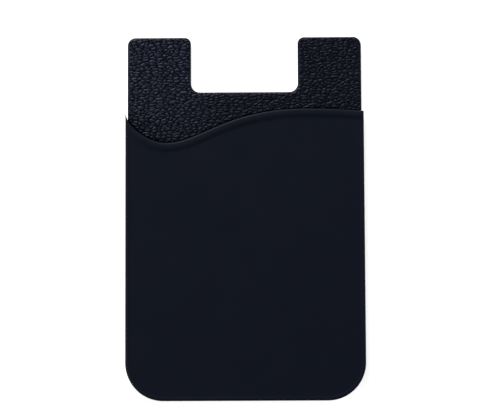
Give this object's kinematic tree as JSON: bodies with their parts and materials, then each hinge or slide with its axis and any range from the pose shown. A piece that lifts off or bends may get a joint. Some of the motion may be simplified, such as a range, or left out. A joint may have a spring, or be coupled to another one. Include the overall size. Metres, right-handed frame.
{
  "type": "stick-on phone card holder",
  "caption": "Flat moulded silicone card sleeve with a wave-cut pocket mouth, ears beside a thumb notch, and an adhesive back for a phone.",
  "frame": {"origin": "under the middle of the sleeve, on the surface that the release liner lies on", "axes": "+Z out of the pocket's front, +Y from the closed foot towards the ears, +X to the right seen from the front with the ears up"},
  "size_m": [0.0566, 0.0864, 0.0036],
  "materials": {
    "silicone": "blue-black silicone, matte and smooth on the pocket, embossed with a fine leather grain on the back plate",
    "adhesive": "milky translucent acrylic adhesive sheet, satin",
    "liner": "off-white release paper with a slight sheen"
  },
  "bodies": {
    "root": {"sleeve": "silicone", "adhesive_sheet": "adhesive", "release_liner": "liner"}
  },
  "joints": []
}
